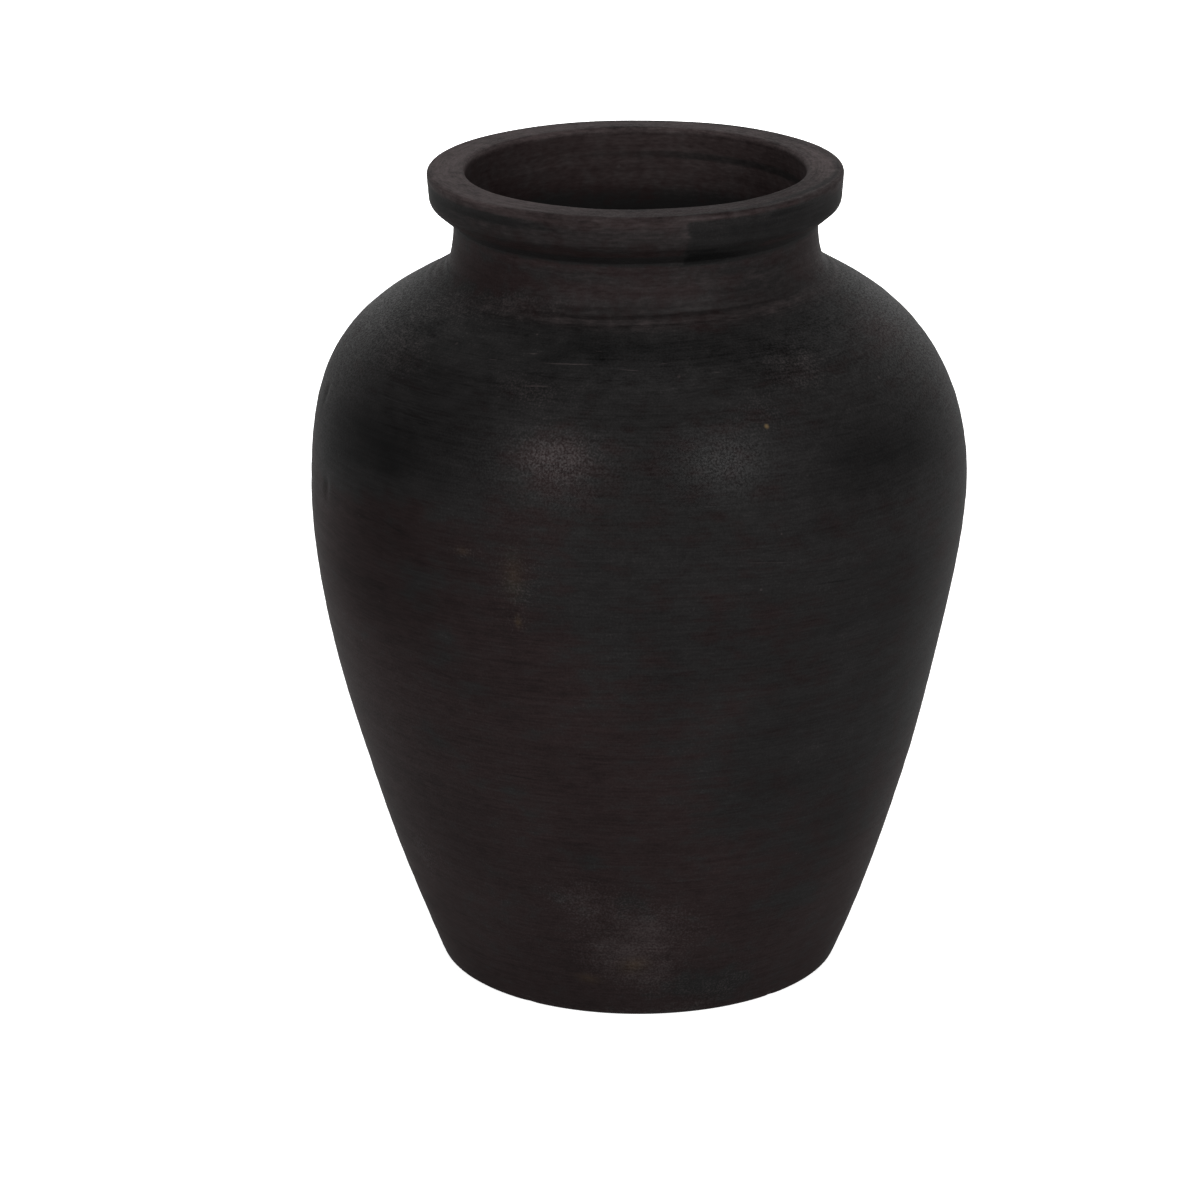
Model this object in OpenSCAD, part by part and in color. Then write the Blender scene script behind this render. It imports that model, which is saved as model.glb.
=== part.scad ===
// Jug vase of dark slipped terracotta, built up from luted clay sections and fired as one vessel.
// Millimetres, +Z up. The origin is the centre of the foot, on the surface that the vase stands on.

/* [Body] */
// Height from the table to the top of the rim
vase_h = 254; // [246:1:290]
// Diameter at the widest level
belly_d = 203.2; // [180:0.1:230]
// Height of the widest level, where the lower body and the shoulder are luted together
belly_z = 156; // [130:1:175]
// Wall thickness at the widest level
belly_wall = 6; // [4:0.5:9]
// How far the wall keeps close to upright below the widest level
belly_reach_down = 45; // [20:1:75]
// How far the wall keeps close to upright above the widest level
belly_reach_up = 50; // [30:1:60]
// How much higher the belly joint lies inside than outside, so that the shoulder caps the lower body
belly_joint_rise = 4; // [1:0.5:8]

/* [Foot and floor] */
// Diameter at which the wall meets the table, before its edge is rounded
foot_d = 124.8; // [105:0.1:145]
// Outward lean of the wall at the foot, in degrees from upright
foot_lean = 24; // [10:1:32]
// How far up the wall keeps the lean of the foot
foot_reach = 30; // [10:1:60]
// Radius of the rounded lower edge
foot_round = 2; // [0.5:0.5:4]
// Wall thickness at the foot
foot_wall = 8; // [5:0.5:11]
// Thickness of the floor
floor_t = 9; // [7:0.5:14]
// Height of the ledge around the floor slab that the wall stands on
ledge_h = 4.5; // [3:0.5:6]
// Width of the corner coil along the floor
coil_w = 12; // [7:0.5:20]
// Height of the corner coil up the wall
coil_h = 12; // [7:0.5:20]
// How far the hollow face of the corner coil is drawn from the corner
coil_fill = 2.5; // [1:0.5:3]

/* [Shoulder and neck] */
// Slope of the shoulder where it turns into the neck, in degrees from upright
shoulder_slope = 56.5; // [45:0.5:65]
// How far down the shoulder keeps that slope
shoulder_reach = 17; // [5:1:25]
// Wall thickness of the neck
neck_wall = 3.6; // [3:0.1:7]
// Height of the neck, from where the shoulder's slope ends to the rim
neck_h = 15.4; // [12:0.1:19]
// How much larger the neck's radius is at its foot than under the rim
neck_flare = 4; // [2.5:0.1:7]
// How far the neck keeps close to upright below the rim
neck_reach = 6.6; // [3:0.1:9]
// How far up the hollow of the neck keeps the shoulder's slope
hollow_reach = 4.1; // [2:0.1:6]
// Height of the collar's outside, from its joint with the shoulder to the rim
collar_h = 14.8; // [11:0.1:16]
// How much lower the collar's joint lies inside than outside, so that the collar wedges into the shoulder
collar_joint_fall = 3; // [1:0.5:4]

/* [Rim and mouth] */
// Inside diameter of the neck and the mouth
mouth_d = 104.4; // [98:0.1:108]
// How far the rim stands out from the neck at its top, before its edge is rounded
rim_out = 8.1; // [5:0.1:13]
// Height of the rim, from its crease with the neck to its top
rim_h = 16; // [13:0.1:20]
// Height of the sloping underside of the rim
rim_under_h = 6.2; // [3:0.1:7.5]
// How much smaller the rim's radius is at its lower edge than at its top
rim_taper = 0.8; // [0:0.1:3]
// Radius of the rim's lower outer edge
rim_low_round = 3.4; // [0.5:0.1:4]
// Radius of the rim's upper outer edge
rim_top_round = 1.3; // [0.5:0.1:3]
// Radius of the lip, where the rim's top turns down into the mouth
lip_round = 1.5; // [0.5:0.1:3]
// Height of the neck's tongue that the rim is seated over
tongue_h = 5; // [2:0.5:8]

/* [Joints] */
// Room for slip beside the tongue of the neck and beside the raised middle of the floor slab
slip_gap = 0.2; // [0.1:0.05:0.5]

/* [Hidden] */
$fn = 144;
curve_steps = 24;
arc_steps = 8;
// Two points of an outline at heights closer than this count as one
same_height = 0.001;

slip_black = "#2a2726";
slip_brown = "#302826";
bare_clay = "#4a3a33";

foot_r = foot_d / 2;
belly_r = belly_d / 2;
mouth_r = mouth_d / 2;
neck_r = mouth_r + neck_wall;
rim_r = neck_r + rim_out;
tongue_r = mouth_r + neck_wall / 2;

rim_z = vase_h - rim_h;
neck_z = rim_z - neck_h;
collar_z = rim_z - collar_h;
belly_joint_z = belly_z + belly_joint_rise;
collar_joint_z = collar_z - collar_joint_fall;
tongue_z = rim_z + tongue_h;

function mix(a, b, t) = a + (b - a) * t;
function unit(v) = v / norm(v);
function tail(list) = [for (i = [1 : len(list) - 1]) list[i]];
function reversed(list) = [for (i = [len(list) - 1 : -1 : 0]) list[i]];

// Point at t along a cubic curve with four control points
function curve_at(c, t) =
    pow(1 - t, 3) * c[0] + 3 * pow(1 - t, 2) * t * c[1] + 3 * (1 - t) * t * t * c[2] + pow(t, 3) * c[3];

// Direction of travel at t along the same curve
function curve_dir(c, t) =
    unit(pow(1 - t, 2) * (c[1] - c[0]) + 2 * (1 - t) * t * (c[2] - c[1]) + t * t * (c[3] - c[2]));

// Outer face of a wall along a curve
function outer_face(c) = [for (i = [0 : curve_steps]) curve_at(c, i / curve_steps)];

// Inner face of the same wall, whose thickness changes evenly from its lower to its upper end
function inner_face(c, low_wall, high_wall) =
    [for (i = [0 : curve_steps])
        let (t = i / curve_steps, dir = curve_dir(c, t))
        curve_at(c, t) + mix(low_wall, high_wall, t) * [-dir[1], dir[0]]];

function arc(centre, r, from, to) =
    [for (i = [0 : arc_steps])
        let (a = mix(from, to, i / arc_steps))
        centre + r * [cos(a), sin(a)]];

// Arc that rounds the corner b of the line a, b, c
function rounded(a, b, c, r) =
    let (
        u = unit(a - b),
        v = unit(c - b),
        half = acos(u * v) / 2,
        centre = b + unit(u + v) * r / sin(half),
        first = b + u * r / tan(half) - centre,
        last = b + v * r / tan(half) - centre,
        start = atan2(first[1], first[0]),
        turn = atan2(cross(first, last), first * last)
    )
    arc(centre, r, start, start + turn);

// Radius of a face at height z
function r_at(face, z) = lookup(z, [for (p = face) [p[1], p[0]]]);

// Stretch of a face between two heights
function between(face, low, high) =
    concat(
        [[r_at(face, low), low]],
        [for (p = face) if (p[1] > low + same_height && p[1] < high - same_height) p],
        [[r_at(face, high), high]]
    );

// The wall rises from the foot's edge in one curve to the belly, in another to the neck and in a third to the rim
lean_dir = [sin(foot_lean), cos(foot_lean)];
foot_edge = rounded([0, 0], [foot_r, 0], [foot_r, 0] + lean_dir, foot_round);
foot_top = foot_edge[arc_steps];
belly = [belly_r, belly_z];
lower_curve = [foot_top, foot_top + foot_reach * lean_dir, belly - [0, belly_reach_down], belly];

slope_dir = [-sin(shoulder_slope), cos(shoulder_slope)];
shoulder_top = [neck_r + neck_flare, neck_z];
shoulder_curve = [belly, belly + [0, belly_reach_up], shoulder_top - shoulder_reach * slope_dir, shoulder_top];

rim_crease = [neck_r, rim_z];
neck_curve = [shoulder_top, shoulder_top + hollow_reach * slope_dir, rim_crease - [0, neck_reach], rim_crease];

outer_wall = concat(
    foot_edge,
    tail(outer_face(lower_curve)),
    tail(outer_face(shoulder_curve)),
    tail(outer_face(neck_curve))
);
inner_wall = concat(
    inner_face(lower_curve, foot_wall, belly_wall),
    tail(inner_face(shoulder_curve, belly_wall, neck_wall)),
    tail(inner_face(neck_curve, neck_wall, neck_wall)),
    [[mouth_r, tongue_z]]
);

// The middle of the floor slab stands up inside the foot of the wall
floor_r = r_at(inner_wall, floor_t);

rim_low = [rim_r - rim_taper, rim_z + rim_under_h];
rim_top = [rim_r, vase_h];
rim_lip = [mouth_r, vase_h];
tongue_top = [mouth_r, tongue_z];

module turned(section) rotate_extrude() polygon(section);

module floor_slab() {
    edge = between(outer_wall, 0, ledge_h);
    middle_r = floor_r - slip_gap;
    color(slip_brown)
        turned(concat([[0, 0]], edge, [[middle_r, ledge_h], [middle_r, floor_t], [0, floor_t]]));
}

module corner_coil() {
    against_wall = between(inner_wall, floor_t, floor_t + coil_h);
    top = against_wall[len(against_wall) - 1];
    toe = [floor_r - coil_w, floor_t];
    hollow = [floor_r - coil_fill, floor_t + coil_fill];
    face = outer_face([top, mix(top, hollow, 2 / 3), mix(toe, hollow, 2 / 3), toe]);
    color(bare_clay) turned(concat(against_wall, tail(face)));
}

module lower_body() {
    outside = between(outer_wall, ledge_h, belly_z);
    inside = between(inner_wall, floor_t, belly_joint_z);
    color(slip_brown) turned(concat(outside, reversed(inside), [[floor_r, ledge_h]]));
}

module shoulder() {
    outside = between(outer_wall, belly_z, collar_z);
    inside = between(inner_wall, belly_joint_z, collar_joint_z);
    color(slip_black) turned(concat(outside, reversed(inside)));
}

module neck_collar() {
    outside = between(outer_wall, collar_z, rim_z);
    inside = between(inner_wall, collar_joint_z, tongue_z);
    color(slip_brown) turned(concat(outside, [[tongue_r, rim_z], [tongue_r, tongue_z]], reversed(inside)));
}

module rim_ring() {
    groove_r = tongue_r + slip_gap;
    color(slip_brown)
        turned(concat(
            [rim_crease],
            rounded(rim_crease, rim_low, rim_top, rim_low_round),
            rounded(rim_low, rim_top, rim_lip, rim_top_round),
            rounded(rim_top, rim_lip, tongue_top, lip_round),
            [tongue_top, [groove_r, tongue_z], [groove_r, rim_z]]
        ));
}

floor_slab();
corner_coil();
lower_body();
shoulder();
neck_collar();
rim_ring();
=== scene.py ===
"""Jug vase of dark slipped terracotta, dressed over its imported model.

Every clay section is one closed turned mesh that stands for the solid of the same name. All of them are
cut from one skin, which runs from the middle of the underside up the outside, over the rim and down the
inside to the middle of the floor, so tool marks and brush strokes cross the joints unbroken. Lengths are
in metres, and angles around the vase are counted from its front, which faces -Y, towards +X.
"""

import math

import bpy
import numpy as np
from bpy.props import FloatProperty, FloatVectorProperty, PointerProperty
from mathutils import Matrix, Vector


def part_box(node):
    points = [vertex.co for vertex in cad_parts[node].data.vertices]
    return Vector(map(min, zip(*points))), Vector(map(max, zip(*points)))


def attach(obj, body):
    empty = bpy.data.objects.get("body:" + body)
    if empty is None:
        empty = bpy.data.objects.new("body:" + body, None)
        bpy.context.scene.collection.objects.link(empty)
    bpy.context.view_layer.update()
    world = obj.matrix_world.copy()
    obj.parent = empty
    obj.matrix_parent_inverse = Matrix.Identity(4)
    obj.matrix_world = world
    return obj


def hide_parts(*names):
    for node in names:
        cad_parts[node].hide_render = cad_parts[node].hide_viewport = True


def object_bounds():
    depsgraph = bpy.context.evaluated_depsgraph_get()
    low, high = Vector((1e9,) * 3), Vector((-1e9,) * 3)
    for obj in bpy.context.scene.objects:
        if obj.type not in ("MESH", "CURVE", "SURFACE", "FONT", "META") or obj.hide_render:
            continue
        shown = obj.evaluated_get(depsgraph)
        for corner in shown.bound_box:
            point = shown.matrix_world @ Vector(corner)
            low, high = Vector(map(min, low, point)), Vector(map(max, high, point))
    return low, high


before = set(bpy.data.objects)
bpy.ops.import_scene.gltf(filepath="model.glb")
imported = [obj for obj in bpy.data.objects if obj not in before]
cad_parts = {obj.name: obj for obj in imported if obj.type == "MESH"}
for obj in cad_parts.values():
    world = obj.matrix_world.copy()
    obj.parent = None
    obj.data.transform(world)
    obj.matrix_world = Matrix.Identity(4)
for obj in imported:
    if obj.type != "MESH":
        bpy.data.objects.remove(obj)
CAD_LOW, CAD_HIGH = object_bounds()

bl_info = {
    "name": "Jug vase",
    "version": (1, 0, 0),
    "blender": (4, 5, 0),
    "location": "3D View > Sidebar > Vase",
    "description": "Turns the clay sections of a slipped terracotta vase and sets them in a plain studio",
    "category": "Object",
}

MM = 0.001
PIECE_SUFFIX = "_clay"

# Facets around the vase, and points on each curve before it is spaced evenly
AROUND = 432
CURVE_POINTS = 240
ARC_POINTS = 40

# Spacing of the rings of points along the skin
FINE_STEP = 0.5 * MM
NECK_STEP = 0.4 * MM
OUTSIDE_STEP = 1.2 * MM
INSIDE_STEP = 2.5 * MM

# How far below the collar's joint its tool marks reach, and how far its rings stray up and down
COLLAR_MARKS = 6 * MM
RING_STRAY = 0.5 * MM

# The wall wanders forward and back as it does sideways: by this share, as read this many millimetres higher
DEPTH_SHARE = 0.5
DEPTH_LAG = 40

# Turn of the oval and of the four-sided swelling, in radians per metre, and the radius that stays round
OVAL_TWIST = 18
SQUARE_TWIST = 31
ROUND_BELOW = 40 * MM

# Throwing rings fade up to this height, over this height, to this share; and finger presses around the coil
SMOOTH_FROM = 235
SMOOTH_OVER = 40
SMOOTH_LEFT = 0.15
FINGER_PRESSES = 26

# Middle of the arcs that the cutting wire leaves underneath
WIRE_X = 90 * MM
WIRE_Y = -60 * MM

# Black slip: height in millimetres over which it takes over from brown, and its least and greatest amounts
SLIP_FADE = 46
BLACK_BELOW = 0.25
BLACK_MOST = 1.8

# An overlap of the brush: degrees over which it starts and ends, edge in millimetres, and how thick it lies
OVERLAP_START = 1.2
OVERLAP_END = 20
OVERLAP_EDGE = 0.8
OVERLAP_THICK = 0.3

# The rubbed edge of the foot: distance up the skin, half width and amount
FOOT_RUB_UP = 2 * MM
FOOT_RUB_WIDE = 2.5 * MM
FOOT_RUB = 0.3

# How thin the slip lies on the rim's top, which lightens it: all round from wear, and as painted sheen more
# at both sides, at the back and on the left
RIM_THIN = 0.02
RIM_SHEEN_SIDES = 0.2
RIM_SHEEN_BACK = 0.07
RIM_SHEEN_LEFT = 0.09
RIM_TOP_EDGE = 1.5 * MM

# The dark stroke on the rim's top: distances from the outer edge, stray, and how black and thick it is
RIM_STROKE_FROM = 2 * MM
RIM_STROKE_TO = 5 * MM
RIM_STROKE_STRAY = 0.8 * MM
RIM_STROKE_BLACK = 0.4
RIM_STROKE_THICK = 0.12

# The dark stripe inside the mouth: heights and edge in millimetres, and how black and thick it is
STRIPE_LOW = 244
STRIPE_HIGH = 247
STRIPE_EDGE = 0.8
STRIPE_BLACK = 0.5
STRIPE_THICK = 0.1

# Inside the vase: painted shade on the left, drawn as thicker slip there, and how burnished and brushed it is
INSIDE_LEFT_SHADE = 0.085
INSIDE_BURNISH = 0.4
INSIDE_BRUSHED = 0.7

# How thin the slip is on the wiped underside, and the paint of faces hidden in the joints: bare clay
UNDERSIDE_THIN = 0.6
JOINT_PAINT = (0.0, 0.0, 1.0, 0.0, 1.0)

# Sand grains: range of their pattern, how far they break up the burnish, and the burnish where that ends
GRAIN_LOW = 0.35
GRAIN_HIGH = 0.65
GRAIN_BREAK = 0.45
GRAIN_LIMIT = 1.6

# How light the thickest slip is, as a share of the usual
THICK_SHADE = 0.3

# Bare clay that was wiped: its roughness, and how much further its grains stand up than under slip
CLAY_ROUGHNESS = 0.88
CLAY_GRIT = 1.5

# Paper floor: it whitens between two distances from the vase, and in gloss up to a distance behind it
PAPER_ROUGHNESS = 0.9
FLOOR_CORNERS = 96
FLOOR_WHITE_FROM = 0.1
FLOOR_WHITE_TO = 0.5
FLOOR_BEHIND = 0.25

# White sweep: where it starts and ends to show in gloss and to give light, from 0, beside, to 1, behind
SWEEP_SHOWS_FROM = 0.1
SWEEP_SHOWS_TO = 0.55
SWEEP_LIGHTS_FROM = 0.5
SWEEP_LIGHTS_TO = 0.85


def linear(hex_colour):
    """Linear red, green and blue of an sRGB hex colour."""
    parts = [int(hex_colour[i : i + 2], 16) / 255 for i in (1, 3, 5)]
    return tuple(c / 12.92 if c <= 0.04045 else ((c + 0.055) / 1.055) ** 2.4 for c in parts)


def length(name, description, metres):
    return FloatProperty(
        name=name, description=description, default=metres, min=0, unit="LENGTH", precision=5
    )


def angle(name, description, degrees):
    return FloatProperty(name=name, description=description, default=math.radians(degrees), subtype="ANGLE")


def share(name, description, value):
    return FloatProperty(name=name, description=description, default=value, min=0, max=1, subtype="FACTOR")


def plain(name, description, value):
    return FloatProperty(name=name, description=description, default=value)


def colour(name, description, hex_colour):
    return FloatVectorProperty(
        name=name,
        description=description,
        default=linear(hex_colour),
        min=0,
        max=1,
        size=3,
        subtype="COLOR",
    )


class VaseSizes(bpy.types.PropertyGroup):
    """Sizes of the turned sections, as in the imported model."""

    height: length("Height", "From the table to the top of the rim", CAD_HIGH.z)
    belly_width: length("Belly width", "Diameter at the widest level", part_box("lower_body")[1].x * 2)
    belly_height: length("Belly height", "Height of the widest level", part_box("shoulder")[0].z)
    belly_wall: length("Belly wall", "Wall thickness at the widest level", 6 * MM)
    belly_reach_down: length("Belly reach down", "How far the wall stays upright below the belly", 45 * MM)
    belly_reach_up: length("Belly reach up", "How far the wall stays upright above the belly", 50 * MM)
    belly_joint: length("Inner belly joint", "Height of the belly joint inside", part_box("lower_body")[1].z)
    foot_width: length("Foot width", "Diameter of the foot before its edge is rounded", 124.8 * MM)
    foot_lean: angle("Foot lean", "Outward lean of the wall at the foot, from upright", 24)
    foot_reach: length("Foot reach", "How far up the wall keeps that lean", 30 * MM)
    foot_round: length("Foot rounding", "Radius of the rounded lower edge", 2 * MM)
    foot_wall: length("Foot wall", "Wall thickness at the foot", 8 * MM)
    floor: length("Floor", "Thickness of the floor slab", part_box("floor_slab")[1].z)
    ledge: length("Ledge", "Height of the ledge that the wall stands on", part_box("lower_body")[0].z)
    coil_width: length("Coil width", "Width of the corner coil along the floor", 12 * MM)
    coil_top: length("Coil top", "Height of the coil on the wall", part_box("corner_coil")[1].z)
    coil_fill: length("Coil fill", "How far the coil's hollow face is drawn from the corner", 2.5 * MM)
    shoulder_slope: angle("Shoulder slope", "Slope at the foot of the neck, from upright", 56.5)
    shoulder_reach: length("Shoulder reach", "How far down the shoulder keeps that slope", 17 * MM)
    mouth_width: length("Mouth width", "Inside diameter of the neck and the mouth", 104.4 * MM)
    neck_wall: length("Neck wall", "Wall thickness of the neck", 3.6 * MM)
    neck_height: length("Neck height", "From the end of the shoulder's slope to the rim", 15.4 * MM)
    neck_flare: length("Neck flare", "How much the neck's radius grows at its foot", 4 * MM)
    neck_reach: length("Neck reach", "How far the neck stays upright below the rim", 6.6 * MM)
    hollow_reach: length("Hollow reach", "How far up the neck keeps the shoulder's slope", 4.1 * MM)
    collar_joint: length("Collar joint", "Height of the collar's joint outside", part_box("shoulder")[1].z)
    collar_joint_in: length("Inner collar joint", "Height of that joint inside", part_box("neck_collar")[0].z)
    rim_out: length("Rim overhang", "How far the rim stands out from the neck at its top", 8.1 * MM)
    rim_crease: length("Rim crease", "Height of the crease below the rim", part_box("rim_ring")[0].z)
    rim_under: length("Rim underside", "Height of the rim's sloping underside", 6.2 * MM)
    rim_taper: length("Rim taper", "How much smaller the rim's radius is at its lower edge", 0.8 * MM)
    rim_low_round: length("Rim lower rounding", "Radius of the rim's lower outer edge", 3.4 * MM)
    rim_top_round: length("Rim upper rounding", "Radius of the rim's upper outer edge", 1.3 * MM)
    lip_round: length("Lip rounding", "Radius where the rim's top turns into the mouth", 1.5 * MM)
    tongue: length("Tongue top", "Height of the neck's tongue inside the rim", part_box("neck_collar")[1].z)
    slip_gap: length("Slip layer", "Room for slip beside the tongue and the floor", 0.2 * MM)


class VaseHand(bpy.types.PropertyGroup):
    """How far the potter's hands and tools depart from a true turned shape."""

    lean: share("Lean", "Share of the measured sideways wander and tilt of the wall", 1.0)
    oval: length("Out of round", "How far the wall is out of round", 0.12 * MM)
    lumps: length("Lumps", "Height of broad swellings left by hand and paddle", 0.08 * MM)
    turning: length("Turning ridges", "Height of the shallow rings left by turning", 0.03 * MM)
    wiping: length("Wiping ridges", "Height of the finer ridges left by a wet cloth or brush", 0.02 * MM)
    finger_rings: length("Finger rings", "Height of the throwing rings inside", 0.5 * MM)
    finger_pitch: length("Finger ring pitch", "Distance between the throwing rings inside", 9 * MM)
    rolling: length("Rim unevenness", "Height of the uneven places in the rolled rim", 0.07 * MM)
    foot_hollow: length("Foot hollow", "How far the middle of the underside is hollowed", 0.7 * MM)
    wire_pitch: length("Cutting wire pitch", "Distance between the cutting wire's arcs", 4 * MM)
    wire_marks: length("Cutting wire marks", "Height of those arcs", 0.12 * MM)


class VaseFinish(bpy.types.PropertyGroup):
    """Colours, gloss and grain of the slip and the clay."""

    brown: colour("Brown slip", "Thin slip, where the clay's red shows through", "#211919")
    black: colour("Black slip", "Slip brushed on thickly", "#1a1919")
    dense: colour("Dense slip", "Slip where strokes lie over each other", "#0c0c0c")
    rubbed: colour("Rubbed slip", "Slip rubbed thin over a ridge or an edge", "#3a3434")
    bare: colour("Bare clay", "Unslipped, smoke-darkened terracotta", "#3d3535")
    ochre: colour("Ochre grain", "Grain of yellow clay broken open at the surface", "#584830")
    roughness: share("Roughness", "Roughness of the matt slip", 0.8)
    gloss: share("Gloss", "Specular level of the matt slip", 0.045)
    burnish: share("Burnish", "Weight of the faint polish left by rubbing", 0.065)
    burnish_roughness: share("Burnish roughness", "Roughness of that polish", 0.42)
    grit: length("Grit", "Size of the sand grains under the slip", 0.6 * MM)
    grit_height: length("Grit height", "How far the grains stand up", 0.014 * MM)
    bristle_width: length("Bristle width", "Width of one bristle's line", 0.5 * MM)
    bristle_length: length("Bristle length", "Length of one bristle's line", 40 * MM)
    bristle_height: length("Bristle height", "Relief of the bristle lines", 0.02 * MM)
    fleck_width: length("Fleck width", "Width of the flecks that a dry brush leaves", 0.8 * MM)
    fleck_length: length("Fleck length", "Length of those flecks", 5 * MM)
    stroke_width: length("Stroke width", "Width of a light or dark streak in the brushwork", 1.7 * MM)
    stroke_length: length("Stroke length", "Length of such a streak", 70 * MM)
    band_width: length("Band width", "Width of one sweep of the brush", 6 * MM)
    band_length: length("Band length", "Length of one sweep of the brush", 120 * MM)
    sway: length("Sway", "How far the strokes stray from level", 3 * MM)
    sway_length: length("Sway length", "Distance over which they stray", 70 * MM)
    cloud: length("Cloud", "Size of the clouds of thick and thin slip", 30 * MM)
    blot: length("Blot", "Height of the drawn-out blots at their edges", 4.5 * MM)
    speck_spacing: length("Speck spacing", "Distance between the places where a pale grain may lie", 6 * MM)
    scratch_depth: length("Scratch depth", "Depth of the scratches", 0.05 * MM)


class VaseStudio(bpy.types.PropertyGroup):
    """A white sweep and a fill light behind, two soft lights in a dark room in front, and one overhead."""

    floor_colour: colour("Floor", "Pale paper floor", "#f4f4f4")
    floor_radius: length("Floor radius", "Radius of the paper floor", 7.0)
    daylight: share("Room light", "Strength of the even light from the room in front", 0.075)
    floor_glow: share("Floor white", "How white the unlit floor shows beside the vase", 0.8)
    floor_mirrored: share("Floor in gloss", "How white the floor in front shows in gloss", 0.45)
    front_mirrored: share("Room in gloss", "How white the room in front shows in gloss", 0.15)
    softbox: length("Softbox", "Width and height of each soft light", 0.55)
    softbox_distance: length("Softbox distance", "From the shoulder of the vase to each light", 1.6)
    left_power: plain("Left light", "Power of the left soft light, in watts", 11.0)
    right_power: plain("Right light", "Power of the right soft light, in watts", 12.5)
    top_power: plain("Top light", "Power of the overhead soft light, in watts", 3.6)
    fill_power: plain("Fill light", "Power of the fill light behind, in watts", 8.0)
    fill_rise: angle("Fill light rise", "Height of the fill light above the horizon", 12)
    left_turn: angle("Left light turn", "Direction of the left light, from the front", -31)
    left_rise: angle("Left light rise", "Height of the left light above the horizon", 26)
    right_turn: angle("Right light turn", "Direction of the right light, from the front", 37)
    right_rise: angle("Right light rise", "Height of the right light above the horizon", 27)
    eye_distance: length("Eye distance", "Distance of the camera in front of the vase's axis", 1.5)
    eye_height: length("Eye height", "Height of the camera above the floor", 0.6173)
    eye_tilt: angle("Eye tilt", "Downward tilt of the camera", 18.53)
    eye_shift: plain("Eye shift", "Sideways shift of the picture, as a share of its width", -0.03125)
    lens: plain("Lens", "Focal length on a 36 mm sensor, in millimetres", 151.23)


# Wander of the wall: height and sideways shift in millimetres, and tilt to the right in thousandths
WANDER = (
    (0, 0.43, 0), (8, 0.44, 0), (16, 0.5, 0), (27, 0.48, 0), (48, 0.33, 0), (70, 0.15, 0),
    (81, -0.1, 0), (92, -0.31, 0), (102, -0.4, 0), (113, -0.41, 0), (124, -0.28, 0), (135, -0.03, 0),
    (145, 0.25, 0), (157, 0.56, 0), (165, 0.5, 0), (174, 0.21, 0), (183, -0.16, 0), (191, -0.58, 0),
    (201, -0.84, 0), (209, -0.75, 1), (217, -0.6, 4), (222.5, -0.5, 6), (230, -0.56, 4),
    (238, -0.58, 3), (245, -0.66, 3), (254, -0.66, 3),
)

# Ridges left by hand and tools: height, first and last stretch, seed, waves, lobes, pitch in millimetres
RIDGES = (
    ("lumps", "lower_out", "neck_out", 11, 14, (1, 7), (40, 130)),
    ("turning", "lower_out", "neck_out", 12, 26, (0, 2), (5, 14)),
    ("wiping", "lower_out", "neck_out", 13, 40, (2, 16), (4, 7)),
    ("rolling", "rim", "rim", 14, 12, (2, 9), (30, 90)),
    ("wiping", "rim", "rim", 15, 26, (0, 9), (1.6, 4)),
)

# Rings pressed in (-) or left standing (+) at the collar's joint: distance up the skin from it, half width
# and height in millimetres, and the angle where the ring is strongest and its spread in degrees
RINGS = (
    (0, 0.45, -0.22, 5, 80), (1.6, 0.9, 0.12, 0, 180), (-1.7, 0.9, 0.16, 0, 180),
    (-3.6, 0.6, -0.18, 15, 60), (-4.2, 0.7, -0.22, -85, 55), (-7.5, 0.8, -0.16, -80, 40),
    (-5.8, 1.2, 0.12, -85, 55), (2.8, 0.5, -0.12, -75, 60), (-4.0, 0.7, -0.1, 85, 40),
    (4.2, 0.6, -0.06, 170, 80), (-6.2, 0.8, -0.1, 160, 60),
)

# Chips: angle and height, half width in degrees, half height and depth in millimetres
CHIPS = (
    (-78.5, 188, 1.0, 3.4, 0.5), (-69.4, 163, 0.9, 3.0, 0.5), (-33, 1.5, 1.6, 1.2, 0.4),
    (41, 1.2, 1.2, 1.0, 0.4), (97, 1.3, 1.4, 1.2, 0.4), (-131, 1.4, 2.0, 1.3, 0.5),
    (166, 2.0, 1.5, 1.5, 0.4), (24.3, 196.3, 0.4, 0.7, 0.25),
)

# Where brown slip gives way to black above it: angle in degrees and height in millimetres
SLIP_EDGE = (
    (-180, 150), (-150, 128), (-120, 160), (-90, 172), (-61, 166), (-44, 161), (-27, 158), (-18, 154),
    (-12, 146), (-7, 126), (0, 110), (12, 91), (27, 66), (48, 58), (62, 66), (72, 76), (80, 98),
    (96, 128), (115, 96), (140, 80), (160, 132), (180, 150),
)

# How black the slip is above that edge, from 0, brown, to 1, at heights in millimetres. The black band from
# 237.8 to 239.5 mm, just under the rim's crease, is painted shade
SLIP_AND_SHADE_BY_HEIGHT = (
    (0, 0.78), (120, 0.78), (160, 0.74), (200, 0.7), (208, 0.78), (213, 1.0), (217.5, 1.0), (220, 0.85),
    (224, 0.7), (229, 0.4), (236.8, 0.5), (237.8, 0.9), (239.5, 0.9), (241.5, 0.3), (244, 0.7),
    (249, 0.8), (251.5, 0.4), (254, 0.3),
)

# How thin it lies on the outside, from -1, thick, to 1, bare clay, at heights in millimetres. It lies thicker
# and darker from 237.8 to 239.5 mm as painted shade under the rim's crease
THIN_AND_SHADE_BY_HEIGHT = (
    (217, 0), (219, 0.3), (221.5, 0.44), (224, 0.38), (230, 0.4), (236.8, 0.38), (237.8, 0.2),
    (239.5, 0.18), (241, 0.36), (246, 0.4), (251, 0.45), (254, 0.5),
)

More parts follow.
